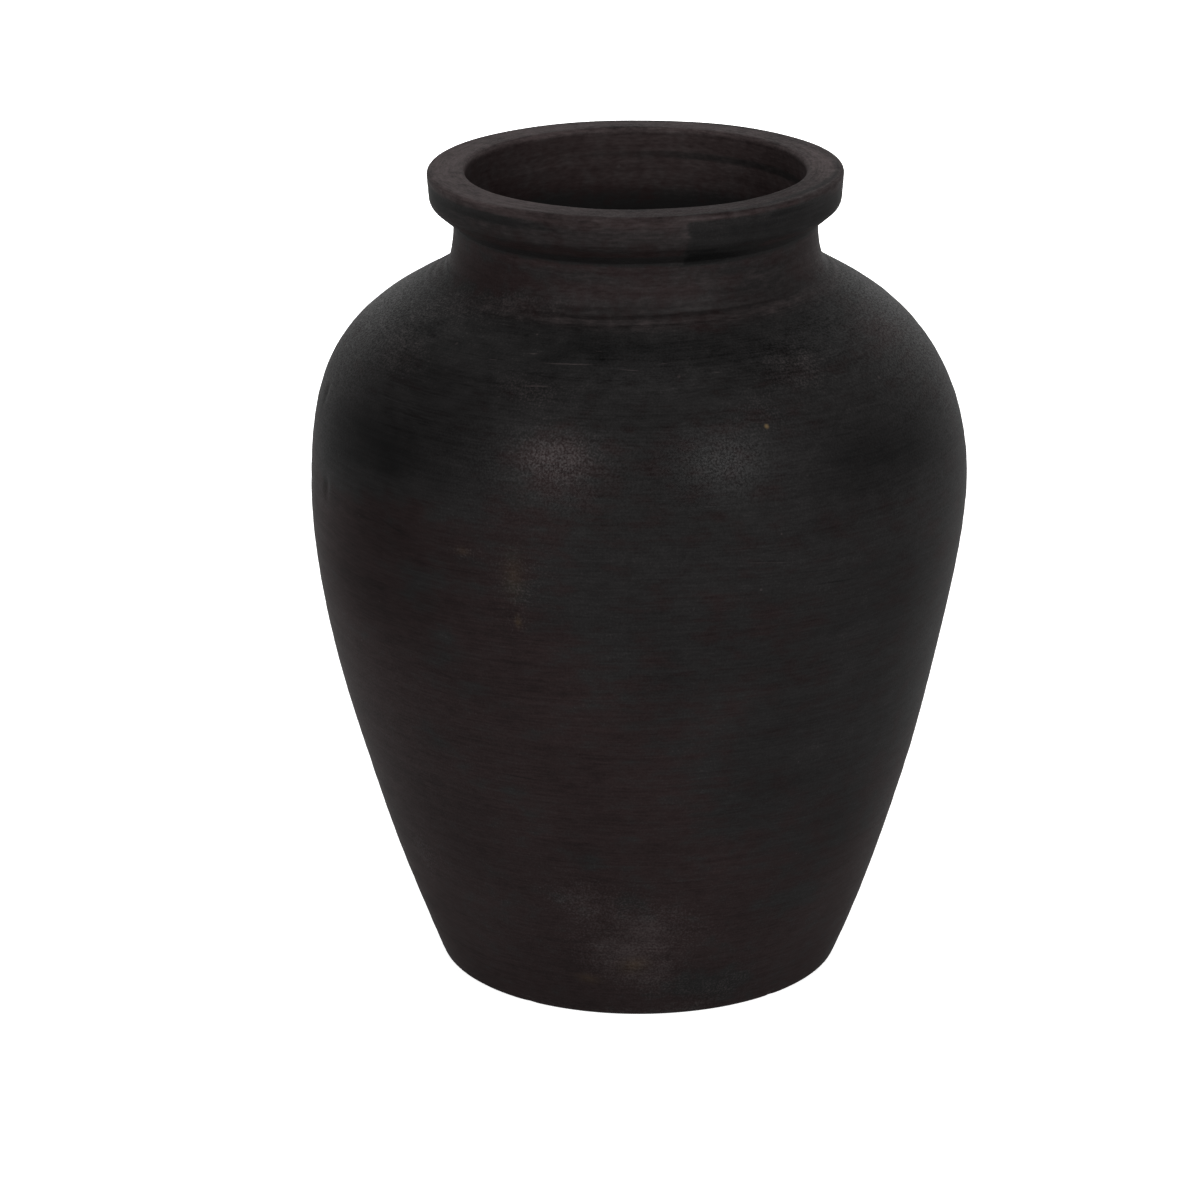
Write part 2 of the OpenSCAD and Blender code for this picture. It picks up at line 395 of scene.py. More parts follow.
# How black and how thin it is inside, at heights in millimetres. From 205 to 230 mm it is blacker and
# thicker, partly painted shade deep in the neck
SLIP_AND_SHADE_INSIDE = (
    (150, 0.5, 1), (190, 0.5, 0.9), (205, 0.8, 0.5), (222, 1.2, 0.1), (230, 0.8, 0.25),
    (236, 0.4, 0.44), (243, 0.4, 0.5), (248, 0.4, 0.5), (252, 0.3, 0.52),
)

# How burnished the outside is and how plainly brushed, as shares of the usual, at heights in millimetres
HANDLING = (
    (0, 0.9, 1.2), (110, 0.9, 1.3), (150, 1.0, 1.4), (170, 1.1, 1.5), (198, 1.2, 1.8), (206, 1.2, 2.0),
    (210, 1.2, 2.8), (216, 1.2, 2.8), (224, 1.0, 0.9), (238, 0.9, 0.9), (250, 1.0, 1.2),
    (253, 1.2, 1.4), (254, 1.3, 2.2),
)

# Places burnished more (+) or less (-): angle, height, half width in degrees, half height, amount
BURNISHED = (
    (-13, 187, 15, 12, 0.8), (15, 188, 8, 9, 0.9), (-52, 184, 18, 13, -0.65), (-46, 203, 16, 9, -0.75),
    (52, 184, 12, 12, -0.15), (-54, 140, 22, 18, -0.7), (50, 138, 20, 18, -0.25),
    (-40, 247, 30, 8, -0.4), (66, 246, 26, 9, -0.7), (-58, 229, 20, 6, -0.3), (-76, 203, 14, 12, 1.0),
    (68, 202, 16, 12, 1.1), (40, 206, 20, 11, 0.55), (45, 55, 18, 16, -0.3), (-45, 55, 18, 16, -0.15),
    (50, 213, 18, 6, 0.5), (0, 219.5, 22, 3, 0.4), (0, 118, 16, 16, 0.15), (-37, 184, 7, 9, 0.15),
    (48, 95, 18, 20, -0.12), (-95, 213, 26, 10, 3.0), (93, 214, 24, 11, 3.2), (86, 200, 14, 9, 0.9),
    (82, 186, 12, 10, 0.5), (-49, 162, 15, 12, -0.65), (-78, 247, 14, 7, -0.5), (-62, 22, 18, 22, -0.6),
    (60, 15, 16, 18, -0.6), (-42, 6, 20, 9, -0.4), (50, 6, 18, 9, -0.4), (-22, 180, 12, 16, 0.2),
    (170, 186, 26, 14, 0.5), (-128, 180, 20, 16, 0.3),
)

# Clouds of blacker (+) or browner (-) slip, in the same form
CLOUDS = (
    (22, 139, 7, 7, -0.15), (14, 148, 7, 4, -0.2), (-13, 143, 6, 7, 0.3), (19, 74, 7, 8, 0.3),
    (14, 108, 8, 8, -0.3), (29, 131, 5, 5, -0.2), (19, 117, 8, 7, -0.2), (3, 130, 4, 4, -0.15),
    (-72, 60, 22, 60, -0.25), (-50, 165, 14, 10, -0.4), (46, 187, 13, 8, 0.45), (58, 178, 13, 8, 0.5),
    (36, 180, 10, 6, 0.25), (-62, 187, 16, 9, 0.6), (-46, 179, 17, 8, 0.6), (-68, 174, 10, 9, 0.55),
    (-36, 190, 12, 6, 0.3), (-58, 170, 9, 5, 0.35), (0, 215.5, 22, 3.5, 0.3), (-62, 150, 12, 10, -0.3),
    (-30, 205, 30, 8, 0.2), (-14, 189, 7, 7, -0.6), (-19, 173, 9, 11, -0.35),
    (18, 219.5, 12, 2.0, -0.4), (70, 212, 13, 6, -0.6), (-40, 144, 5, 9, 0.3), (-36, 122, 6, 9, 0.35),
    (-41, 94, 5, 5, 0.35), (-28, 113, 6, 3, 0.25), (-28, 82, 6, 2, 0.3), (-11, 59, 3, 4, 0.4),
    (-1, 45, 4, 6, 0.4), (38, 38, 9, 5, 0.5), (24, 9, 8, 6, 0.5), (14, 12, 10, 7, 0.5),
    (0, 28, 14, 16, -0.2), (100, 120, 30, 40, -0.3), (140, 60, 30, 40, 0.35), (165, 150, 28, 24, -0.4),
    (-150, 110, 26, 50, 0.4), (-110, 60, 24, 34, -0.3), (-105, 165, 22, 14, -0.35),
    (120, 190, 24, 12, 0.3), (-170, 35, 20, 24, -0.3), (-60, 229, 18, 5, -0.35),
    (-21, 233.5, 14, 1.6, 0.3), (5, 229, 13, 2.5, -0.1), (40, 228, 14, 1.8, 0.5),
    (72, 230, 12, 6, -0.3), (30, 234, 8, 1.2, 0.4), (46, 231.5, 16, 3, 0.4),
    (-38, 236.5, 24, 1.6, -0.25), (150, 232, 30, 5, 0.35), (-150, 230, 24, 5, -0.3),
)

# Places where the slip is made darker, whether brown or black, in the same form: some are thick, dense slip
# and some are painted shade
THICK_SLIP_AND_SHADE = (
    (-53, 140, 16, 14, 0.35), (-53, 184, 13, 9, 0.3), (-46, 203, 14, 8, 0.2), (48, 138, 14, 14, 0.25),
    (47, 56, 16, 16, 0.35), (-45, 56, 16, 16, 0.2), (-62, 229, 22, 9, 0.17), (64, 247, 20, 5, 0.3),
    (76, 255, 24, 2, 0.08), (4, 187, 5, 9, 0.2), (-49, 162, 13, 11, 0.5), (42, 255, 20, 2, 0.1),
    (60, 95, 14, 14, 0.2), (130, 150, 24, 22, 0.3), (-140, 200, 22, 10, 0.3), (-160, 70, 24, 26, 0.25),
)

# Places where the slip is rubbed off in specks, in the same form. The patch at -13.5 degrees and 189.5 mm is
# partly rubbed slip and partly a painted highlight, and the one at 36 degrees and 209 mm is a painted
# highlight
RUBBED_AND_HIGHLIGHTS = (
    (-21, 150, 5, 13, 0.2), (-20.5, 157, 4.5, 5, 0.08), (-21, 139, 2.5, 4, 0.22),
    (-30.5, 159, 3.0, 2, 0.4), (-13.5, 189.5, 7.5, 7, 0.42), (-58, 47, 5, 9, 0.45),
    (-1, 28, 13, 13, 0.32), (5, 35, 9, 8, 0.24), (4, 15, 9, 7, 0.34), (-9, 22, 9, 8, 0.24),
    (17, 5, 8, 5, 0.28), (25, 10, 7, 6, 0.25), (-12, 44, 9, 9, 0.33), (36, 209, 8, 5, 0.48),
    (-22, 206, 8, 4, 0.32), (-55, 205, 9, 5, 0.32), (-34, 224, 14, 3, 0.38), (-66, 212, 14, 6, 0.34),
    (-55, 221, 18, 4, 0.32), (24, 200, 6, 5, 0.2), (92, 150, 6, 8, 0.4), (128, 30, 9, 8, 0.45),
    (171, 182, 5, 5, 0.35), (-140, 24, 8, 9, 0.45), (-118, 140, 2, 14, 0.4), (-95, 200, 5, 4, 0.35),
)

# Dense overlaps of the brush on the rim and neck: from angle to angle, from height to height, amount
OVERLAPS = (
    (14, 66, 243.2, 252.6, 0.45), (14, 42, 236.4, 243.6, 0.9), (39, 70, 250, 252.6, 0.5),
    (-86, -18, 248.2, 251.8, 0.5), (-84, -50, 246, 249, 0.4), (96, 150, 245, 251, 0.7),
    (-160, -128, 240, 249, 0.8),
)

# Scratches and drawn-out strokes: tone, angle, height, length, width, tilt in degrees, amount
STROKES = (
    ("pale", -15, 212.5, 30, 0.5, 1, 0.7), ("pale", -1, 211.6, 18, 0.4, -3, 0.6),
    ("pale", 21, 158, 24, 0.5, -6, 0.5), ("dark", -23, 86.6, 20, 0.45, -2, 0.8),
    ("dark", -46, 161, 50, 1.2, -13, 0.5), ("dark", -50, 157, 46, 0.9, -15, 0.4),
    ("dark", -38, 152, 30, 0.8, -10, 0.4), ("dark", 30, 153, 30, 0.6, -5, 0.5),
    ("dark", 36, 148, 26, 0.7, -4, 0.4), ("pale", 110, 140, 34, 0.6, 5, 0.6),
    ("pale", 150, 205, 30, 0.5, 2, 0.6), ("dark", -140, 170, 40, 0.9, 8, 0.5),
    ("pale", -120, 96, 26, 0.5, -3, 0.6), ("dark", 175, 70, 30, 0.5, 4, 0.5),
    ("dark", 48, 181, 46, 0.7, 5, 0.6), ("ochre", 24.3, 196.3, 2.4, 2.0, 0, 1),
    ("ochre", -21, 154, 16, 32, 0, 0.25), ("ochre", -20.5, 139, 5, 8, 0, 0.33),
    ("ochre", -30.5, 159, 11, 6, 0, 0.26), ("ochre", -1, 20, 28, 12, 5, 0.33),
    ("ochre", -13, 14, 26, 8, -4, 0.28), ("pale", -24, 214, 8, 0.4, 2, 0.6),
    ("pale", -9, 215.5, 6, 0.35, -4, 0.6), ("pale", 6, 213, 9, 0.4, 3, 0.5),
    ("pale", -33, 211.5, 10, 0.4, 5, 0.5), ("pale", 17, 210.5, 7, 0.4, -2, 0.5),
    ("pale", -21, 207, 16, 0.6, 3, 0.7), ("dark", -51, 121, 15, 0.5, -40, 0.6),
    ("dark", -37, 117.5, 29, 0.5, -17, 0.6), ("dark", 42, 150, 90, 12, 5, 0.38),
    ("dark", 38, 133, 80, 9, 6, 0.36), ("dark", 50, 112, 64, 14, 5, 0.38),
    ("dark", 31, 82, 80, 14, 4, 0.36), ("dark", 44, 66, 60, 12, 4, 0.34),
    ("dark", -4, 140, 60, 8, 7, 0.3),
)


def unit(vectors):
    return vectors / np.linalg.norm(vectors, axis=-1, keepdims=True)


def point(radius, height):
    return np.array([radius, height], float)


def curve(start, pull_start, pull_end, end):
    """Points of a cubic curve, and the direction of travel at each."""
    t = np.linspace(0, 1, CURVE_POINTS)[:, None]
    s = 1 - t
    points = s**3 * start + 3 * s**2 * t * pull_start + 3 * s * t**2 * pull_end + t**3 * end
    travel = s**2 * (pull_start - start) + 2 * s * t * (pull_end - pull_start) + t**2 * (end - pull_end)
    return points, unit(travel)


def arc(centre, radius, start, stop):
    turn = np.linspace(start, stop, ARC_POINTS)
    return centre + radius * np.c_[np.cos(turn), np.sin(turn)]


def rounded(before, corner, after, radius):
    """Arc that rounds a corner."""
    u, v = unit(before - corner), unit(after - corner)
    half = math.acos(u @ v) / 2
    centre = corner + unit(u + v) * radius / math.sin(half)
    first = corner + u * radius / math.tan(half) - centre
    last = corner + v * radius / math.tan(half) - centre
    start = math.atan2(first[1], first[0])
    turn = math.atan2(first[0] * last[1] - first[1] * last[0], first @ last)
    return arc(centre, radius, start, start + turn)


def cut(points, height):
    """The two parts of a line of points, rising or falling, that meet at a height."""
    rises = points[-1, 1] > points[0, 1]
    past = points[:, 1] > height if rises else points[:, 1] < height
    i = int(past.argmax())
    t = (height - points[i - 1, 1]) / (points[i, 1] - points[i - 1, 1])
    here = points[i - 1] + (points[i] - points[i - 1]) * t
    return np.vstack([points[:i], here]), np.vstack([here, points[i:]])


def walked(points):
    """Distance along a line of points."""
    return np.r_[0, np.cumsum(np.linalg.norm(np.diff(points, axis=0), axis=1))]


def evenly(points, step):
    """The same line with evenly spaced points."""
    along = walked(points)
    spots = np.linspace(0, along[-1], max(3, round(along[-1] / step) + 1))
    return np.c_[np.interp(spots, along, points[:, 0]), np.interp(spots, along, points[:, 1])]


def section_lines(v):
    """The half section as (radius, height) lines: the skin in order, and corners of the hidden joints."""
    foot_r, belly_r, mouth_r = v.foot_width / 2, v.belly_width / 2, v.mouth_width / 2
    neck_r = mouth_r + v.neck_wall

    lean = point(math.sin(v.foot_lean), math.cos(v.foot_lean))
    foot_corner = point(foot_r, 0)
    foot_edge = rounded(point(0, 0), foot_corner, foot_corner + lean, v.foot_round)
    belly = point(belly_r, v.belly_height)
    lower, lower_way = curve(
        foot_edge[-1], foot_edge[-1] + v.foot_reach * lean, belly - point(0, v.belly_reach_down), belly
    )
    slope = point(-math.sin(v.shoulder_slope), math.cos(v.shoulder_slope))
    top = point(neck_r + v.neck_flare, v.rim_crease - v.neck_height)
    crease = point(neck_r, v.rim_crease)
    upper, upper_way = curve(belly, belly + point(0, v.belly_reach_up), top - v.shoulder_reach * slope, top)
    neck, neck_way = curve(top, top + v.hollow_reach * slope, crease - point(0, v.neck_reach), crease)

    def inside(points, way, low_wall, high_wall):
        wall = np.linspace(low_wall, high_wall, len(points))[:, None]
        return points + wall * np.c_[-way[:, 1], way[:, 0]]

    outside_low = np.vstack([foot_edge, lower[1:]])
    outside_neck = np.vstack([upper, neck[1:]])
    inside_wall = np.vstack([
        inside(lower, lower_way, v.foot_wall, v.belly_wall),
        inside(upper, upper_way, v.belly_wall, v.neck_wall)[1:],
        inside(neck, neck_way, v.neck_wall, v.neck_wall)[1:],
        [point(mouth_r, v.tongue)],
    ])
    rim_low = point(neck_r + v.rim_out - v.rim_taper, v.rim_crease + v.rim_under)
    rim_top = point(neck_r + v.rim_out, v.height)
    lip, tongue = point(mouth_r, v.height), point(mouth_r, v.tongue)
    rim = np.vstack([
        crease,
        rounded(crease, rim_low, rim_top, v.rim_low_round),
        rounded(rim_low, rim_top, lip, v.rim_top_round),
        rounded(rim_top, lip, tongue, v.lip_round),
        tongue,
    ])

    foot, lower_out = cut(outside_low, v.ledge)
    shoulder_out, neck_out = cut(outside_neck, v.collar_joint)
    shoulder_out, shoulder_top = cut(shoulder_out, v.collar_joint - COLLAR_MARKS)
    down = inside_wall[::-1]
    neck_in, rest = cut(down, v.collar_joint_in)
    shoulder_in, rest = cut(rest, v.belly_joint)
    lower_in, rest = cut(rest, v.coil_top)
    behind_coil, _ = cut(rest, v.floor)
    floor_r = behind_coil[-1, 0]
    toe = point(floor_r - v.coil_width, v.floor)
    drawn = point(floor_r - v.coil_fill, v.floor + v.coil_fill)
    coil_top = lower_in[-1]
    coil, _ = curve(coil_top, coil_top + (drawn - coil_top) * 2 / 3, toe + (drawn - toe) * 2 / 3, toe)
    skin = {
        "underside": (np.vstack([point(0, 0), foot_edge[0]]), INSIDE_STEP),
        "foot": (foot, FINE_STEP),
        "lower_out": (lower_out, OUTSIDE_STEP),
        "shoulder_out": (shoulder_out, OUTSIDE_STEP),
        "shoulder_top": (shoulder_top, NECK_STEP),
        "neck_out": (neck_out, NECK_STEP),
        "rim": (rim, FINE_STEP),
        "neck_in": (neck_in, OUTSIDE_STEP),
        "shoulder_in": (shoulder_in, INSIDE_STEP),
        "lower_in": (lower_in, INSIDE_STEP),
        "coil": (coil, OUTSIDE_STEP),
        "floor_in": (np.vstack([toe, point(0, v.floor)]), INSIDE_STEP),
    }
    tongue_r = mouth_r + v.neck_wall / 2
    joints = {
        "behind_coil": evenly(behind_coil, INSIDE_STEP)[1:],
        "wall_foot": np.array([(floor_r, v.ledge)]),
        "slab_step": np.array([(floor_r - v.slip_gap, v.ledge), (floor_r - v.slip_gap, v.floor)]),
        "under_coil": np.array([(floor_r, v.floor)]),
        "tongue": np.array([(tongue_r, v.rim_crease), (tongue_r, v.tongue)]),
        "groove": np.array([(tongue_r + v.slip_gap, v.tongue), (tongue_r + v.slip_gap, v.rim_crease)]),
    }
    return skin, joints


TURNS = -math.pi + np.arange(AROUND) * 2 * math.pi / AROUND


def off_turn(degrees):
    """Angle around the vase from a place on it, in degrees, between -180 and 180."""
    return (np.degrees(TURNS) - degrees + 180) % 360 - 180


def read_off(table, places):
    """What a table gives at each place: one result for each of its columns after the first."""
    spots, *columns = np.array(table, float).T
    return [np.interp(places, spots, column) for column in columns]


def patches(table, level):
    """Sum of soft patches: angle and height, half width in degrees, half height, amount."""
    total = np.zeros((len(level), AROUND))
    for degrees, height, wide, tall, amount in table:
        total += amount * np.exp(-((off_turn(degrees) / wide) ** 2) - ((level - height) / tall) ** 2)
    return total


def waves(seed, count, lobes, pitch, along):
    """Smooth seeded relief, about -1 to 1, of waves with some lobes around and a pitch along the skin."""
    rng = np.random.default_rng(seed)
    relief = np.zeros((len(along), AROUND))
    for _ in range(count):
        around = rng.integers(lobes[0], lobes[1] + 1) * rng.choice([-1, 1])
        run = 2 * math.pi / rng.uniform(*pitch)
        relief += np.cos(around * TURNS[None, :] + run * along[:, None] + rng.uniform(0, 2 * math.pi))
    return relief / math.sqrt(2 * count)


def between(values, low, high, edge):
    """1 inside a range, falling to 0 over an edge on both sides."""
    return np.clip((values - low) / edge, 0, 1) * np.clip((high - values) / edge, 0, 1)


def wandered(points, hand):
    """Rings of x, y, z for (radius, height) points, with the wall's sideways wander, tilt and ovalness."""
    radius, height = points[:, :1], points[:, 1:]
    shift, tilt = read_off(WANDER, height / MM)
    depth = DEPTH_SHARE * read_off(WANDER, height / MM + DEPTH_LAG)[0]
    oval = np.cos(2 * TURNS - OVAL_TWIST * height) + 0.5 * np.cos(4 * TURNS + SQUARE_TWIST * height + 1)
    radius = radius + hand.oval * oval * np.clip(radius / ROUND_BELOW, 0, 1)
    x = radius * np.sin(TURNS) + shift * MM * hand.lean
    y = -radius * np.cos(TURNS) + depth * MM * hand.lean
    return np.stack([x, y, height + tilt * MM * hand.lean * x], axis=-1)


def tool_relief(rows, spans, along, hand):
    """How far the tools left the skin proud of the true shape, for each point of each ring."""
    rings = np.arange(len(rows))
    level = rows[:, 1:] / MM

    def on(first, last, blend=6):
        start, stop = spans[first][0], spans[last][1] - 1
        return np.clip(np.minimum(rings - start, stop - rings) / blend + 0.5, 0, 1)[:, None]

    outside = on("lower_out", "neck_out")
    relief = np.zeros((len(rows), AROUND))
    for name, first, last, seed, count, lobes, pitch in RIDGES:
        ridges = waves(seed, count, lobes, np.multiply(pitch, MM), along)
        relief += on(first, last) * getattr(hand, name) * ridges

    # Rings around the collar's joint stray a little up and down
    joint = along[spans["neck_out"][0]] + RING_STRAY * np.sin(2 * TURNS + 0.3 * np.sin(5 * TURNS))
    for offset, wide, tall, degrees, spread in RINGS:
        line = (along[:, None] - joint) / MM - offset
        relief += tall * MM * np.exp(-((line / wide) ** 2) - (off_turn(degrees) / spread) ** 2) * outside

    # Throwing rings climb the inside in a spiral and are smoothed away towards the mouth
    inside = on("neck_in", "lower_in", 8) * np.clip((SMOOTH_FROM - level) / SMOOTH_OVER, SMOOTH_LEFT, 1)
    spiral = 2 * math.pi * along[:, None] / hand.finger_pitch + TURNS
    unsteady = 1.2 * waves(16, 6, (1, 4), (30 * MM, 80 * MM), along)
    presses = np.cos(FINGER_PRESSES * TURNS + 5 * np.sin(3 * TURNS))
    relief += inside * hand.finger_rings * 0.5 * np.cos(spiral + unsteady)
    relief += on("coil", "coil", 3) * hand.finger_rings * 0.7 * presses
    relief += on("floor_in", "floor_in", 3) * hand.finger_rings * 0.5 * np.cos(spiral)

    # The cutting wire leaves arcs underneath, and the middle is hollowed, so the rest carries the vase
    under = np.clip(1 - rows[:, :1] / rows[spans["foot"][0], 0], 0, 1)
    under = under * (rings < spans["foot"][0])[:, None]
    x, y = rows[:, :1] * np.sin(TURNS), -rows[:, :1] * np.cos(TURNS)
    arcs = np.cos(2 * math.pi * np.hypot(x - WIRE_X, y - WIRE_Y) / hand.wire_pitch)
    relief -= hand.wire_marks * (1 + arcs) / 2 * np.clip(under * 8, 0, 1)
    relief -= hand.foot_hollow * np.clip(under * 2.2, 0, 1)

    for degrees, height, wide, tall, deep in CHIPS:
        spot = (off_turn(degrees) / wide) ** 2 + ((level - height) / tall) ** 2
        relief -= deep * MM * np.exp(-spot) * (outside + (rings < spans["lower_out"][0])[:, None])
    return relief


def slip_paint(rows, spans, along):
    """For each point: how black, rubbed, thin and burnished the slip is, and how plainly brushed."""
    level = rows[:, 1:] / MM
    place = along[:, None]

    # Brown slip gives way to black above it, and some strokes of the brush lie over others
    (edge,) = read_off(SLIP_EDGE, np.degrees(TURNS))
    # Just under the rim's crease these heights add painted shade, as black and thick slip
    (black_and_shade_above,) = read_off(SLIP_AND_SHADE_BY_HEIGHT, level)
    above = np.clip((level - edge) / SLIP_FADE + 0.5, 0, 1)
    black = BLACK_BELOW + above * (black_and_shade_above - BLACK_BELOW) + patches(CLOUDS, level)
    black = np.clip(black, 0, BLACK_MOST)
    # The darkened places here are partly thick slip and partly painted shade
    thin = read_off(THIN_AND_SHADE_BY_HEIGHT, level)[0] - patches(THICK_SLIP_AND_SHADE, level)
    ragged = 0.3 * np.cos(2.1 * level) + 0.5 * np.cos(0.9 * level + 1)
    for low, high, bottom, top, amount in OVERLAPS:
        turns = off_turn((low + high) / 2) + ragged
        half = (high - low) / 2
        paint = amount * between(level, bottom, top, OVERLAP_EDGE)
        paint = paint * np.clip((turns + half) / OVERLAP_START, 0, 1)
        paint = paint * np.clip((half - turns) / OVERLAP_END, 0, 1)
        black += paint
        thin -= OVERLAP_THICK * paint

    # Hands and cloths rub the foot's edge and most of all the top of the rim
    foot_edge = np.exp(-(((place - along[spans["foot"][0]] - FOOT_RUB_UP) / FOOT_RUB_WIDE) ** 2))
    # Besides rubbed specks, these patches hold painted highlights on the shoulder
    rubbed = patches(RUBBED_AND_HIGHLIGHTS, level) + FOOT_RUB * foot_edge * (0.6 + 0.4 * np.cos(3 * TURNS + 1))
    rim = slice(*spans["rim"])
    corner = along[rim][np.argmax(rows[rim, 0])]
    lip = along[rim][np.argmin(rows[rim, 0])]
    # Painted sheen: besides its even wear, the rim's top is lighter at both sides, at the back and on the
    # left, and darker at the front
    worn_and_sheen = RIM_THIN + RIM_SHEEN_SIDES * np.sin(TURNS) ** 2
    worn_and_sheen = worn_and_sheen - RIM_SHEEN_BACK * np.cos(TURNS) - RIM_SHEEN_LEFT * np.sin(TURNS)
    thin += between(place, corner, lip, RIM_TOP_EDGE) * worn_and_sheen

    # One dark stroke wavers round the rim's top, most plainly on the right
    strayed = place - corner + RIM_STROKE_STRAY * np.sin(5 * TURNS)
    stroke = between(strayed, RIM_STROKE_FROM, RIM_STROKE_TO, 1 * MM)
    stroke = stroke * np.clip(0.3 + 0.7 * np.sin(TURNS), 0.15, 1)
    black += RIM_STROKE_BLACK * stroke
    thin -= RIM_STROKE_THICK * stroke

    # Inside, from the lip down, slip covers the neck and runs out below it, with a dark stripe on the right
    inside = place > lip
    # Deep in the neck the slip turns blacker and thicker, partly as painted shade
    black_and_shade_inside, thin_and_shade_inside = read_off(SLIP_AND_SHADE_INSIDE, level)
    # Painted shade: the inner wall is made darker on the left
    thin_and_shade_inside = thin_and_shade_inside - INSIDE_LEFT_SHADE * np.clip(-np.sin(TURNS), 0, 1)
    stripe = between(level, STRIPE_LOW, STRIPE_HIGH, STRIPE_EDGE) * np.clip(0.4 + np.sin(TURNS), 0, 1)
    black = np.where(inside, black_and_shade_inside + STRIPE_BLACK * stripe, black)
    thin = np.where(inside, thin_and_shade_inside - STRIPE_THICK * stripe, thin)
    rubbed = np.where(inside, 0.0, rubbed)

    # The underside was wiped
    underside = np.arange(len(rows))[:, None] < spans["foot"][0]
    thin = np.where(underside, UNDERSIDE_THIN, thin)

    # Rubbing burnished the slip, and the brushwork shows more plainly in some places
    burnish, brushed = read_off(HANDLING, level)
    burnish = np.where(inside, INSIDE_BURNISH, burnish + patches(BURNISHED, level))
    brushed = np.where(inside, INSIDE_BRUSHED, brushed)
    return np.stack(np.broadcast_arrays(black, rubbed, thin, burnish, brushed), axis=-1)


def vase_skin(scene):
    """The whole skin: rings of points, their normals, paint and place along it, and the joints' corners."""
    hand = scene.vase_hand
    lines, joints = section_lines(scene.vase_sizes)
    rows, spans = np.empty((0, 2)), {}
    for name, (points, step) in lines.items():
        points = evenly(points, step)
        first = max(len(rows) - 1, 0)
        rows = np.vstack([rows, points[1:] if len(rows) else points])
        spans[name] = (first, len(rows))
    along = walked(rows)
    way = unit(np.gradient(rows, axis=0))
    out = np.c_[way[:, 1], -way[:, 0]]
    relief = tool_relief(rows, spans, along, hand)
    rings = wandered(rows, hand)
    rings[..., 0] += relief * out[:, :1] * np.sin(TURNS)
    rings[..., 1] -= relief * out[:, :1] * np.cos(TURNS)
    rings[..., 2] += relief * out[:, 1:]
    rings[..., 2] = np.maximum(rings[..., 2], 0)
    around = np.roll(rings, -1, axis=1) - np.roll(rings, 1, axis=1)
    normals = np.cross(around, np.gradient(rings, axis=0))
    normals[0], normals[-1] = (0, 0, -1), (0, 0, 1)
    hidden = {name: wandered(points, hand) for name, points in joints.items()}
    return {
        "rings": rings,
        "normals": unit(normals),
        "paint": slip_paint(rows, spans, along),
        "along": along,
        "spans": spans,
        "hidden": hidden,
    }


